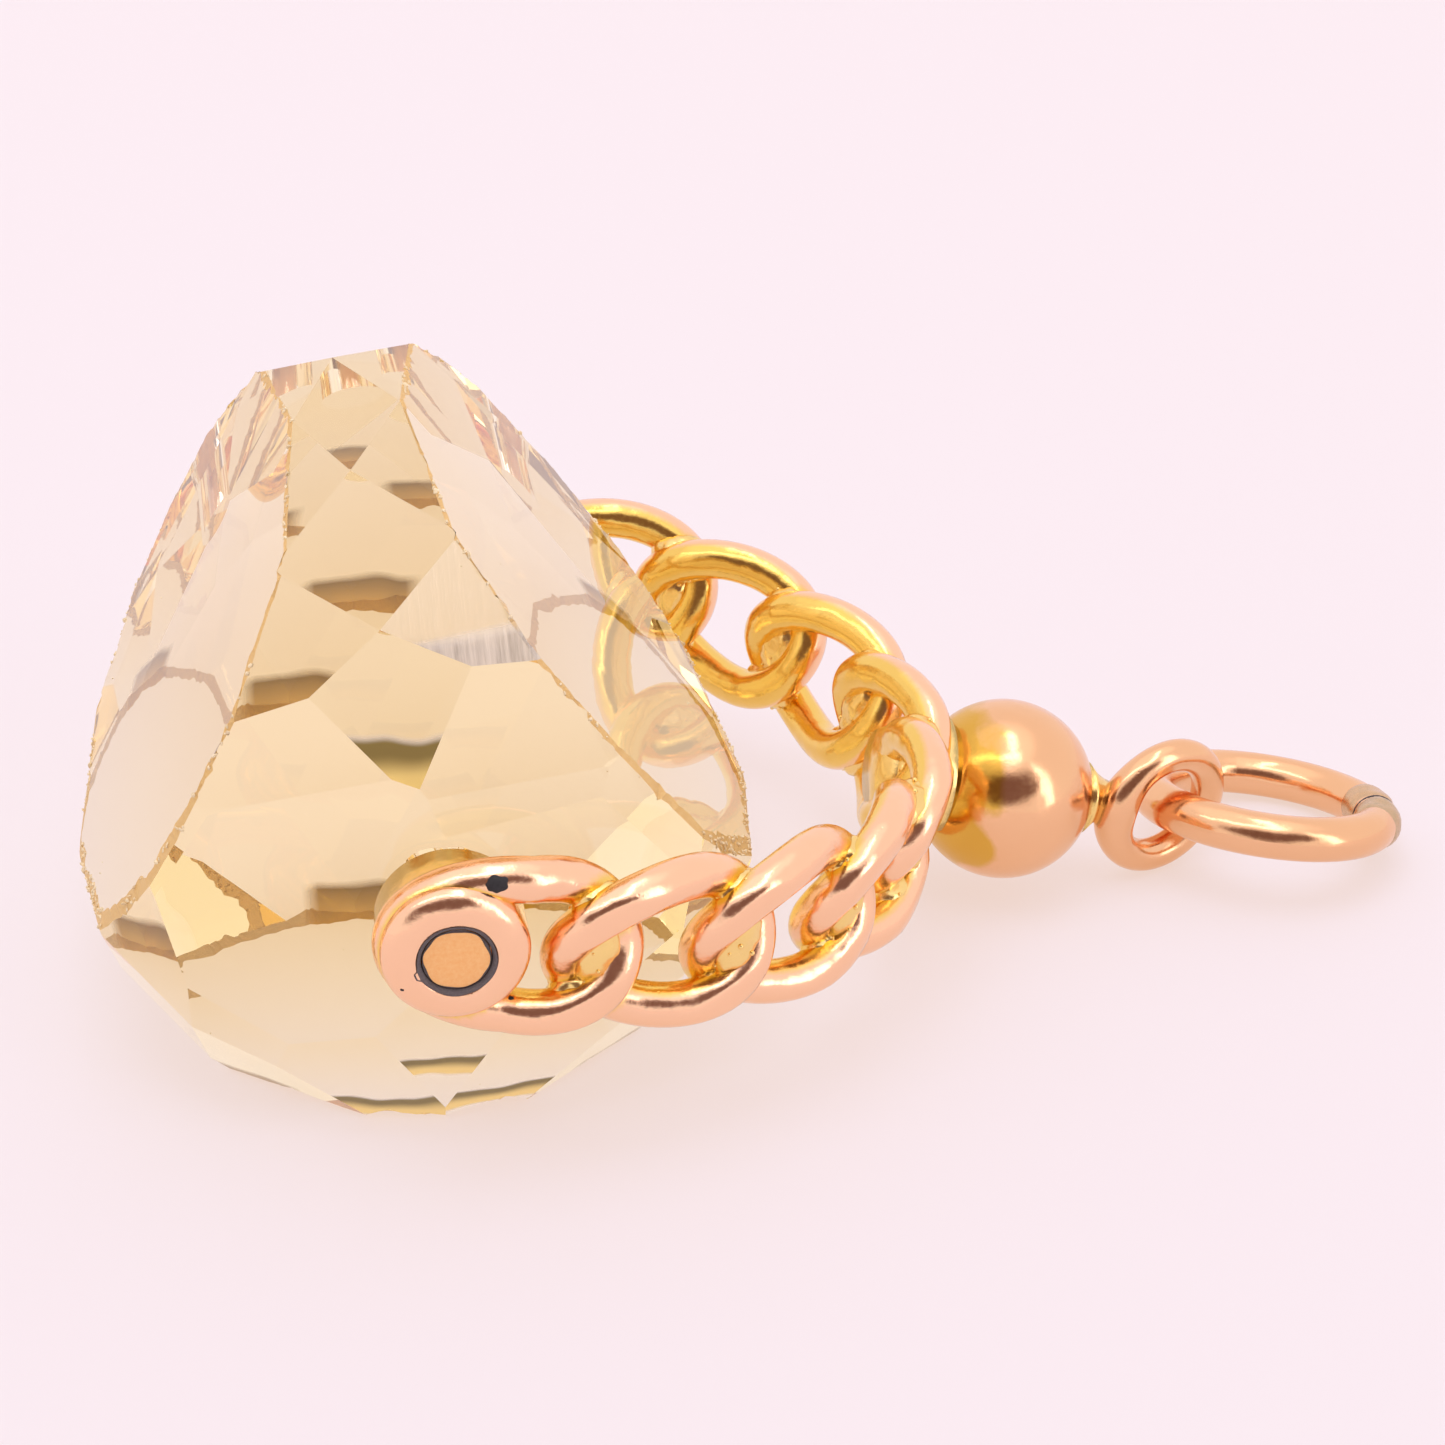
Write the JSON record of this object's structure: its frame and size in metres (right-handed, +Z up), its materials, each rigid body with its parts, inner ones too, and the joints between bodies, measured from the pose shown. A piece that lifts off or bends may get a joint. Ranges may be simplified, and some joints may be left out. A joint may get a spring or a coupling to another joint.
{
  "type": "spinner fob",
  "caption": "Faceted lemon citrine that spins between the capped ends of a curb-link rose gold bail, with a ball, a loop and a loose ring.",
  "frame": {"origin": "on the surface that the fob lies on, straight below the middle of the pivot", "axes": "+Z up, +X from the pivot towards the ball and the ring, +Y along the pivot away from the viewer"},
  "size_m": [0.0384, 0.0248, 0.0168],
  "materials": {
    "citrine": "polished, transparent",
    "stud_copper_gold": "sawn, matte",
    "rose_gold": "polished",
    "ring_gold": "polished"
  },
  "bodies": {
    "bail": {"curb_bail": "rose_gold", "jump_ring": "ring_gold"},
    "stone": {"stone": "citrine", "pivot_stud_near": "stud_copper_gold", "pivot_stud_far": "stud_copper_gold"}
  },
  "joints": [
    {"name": "stone_spin", "type": "hinge", "parent": "bail", "child": "stone", "pos_m": [0, 0, 0.00732], "axis": [0, 1, 0], "continuous": true}
  ]
}
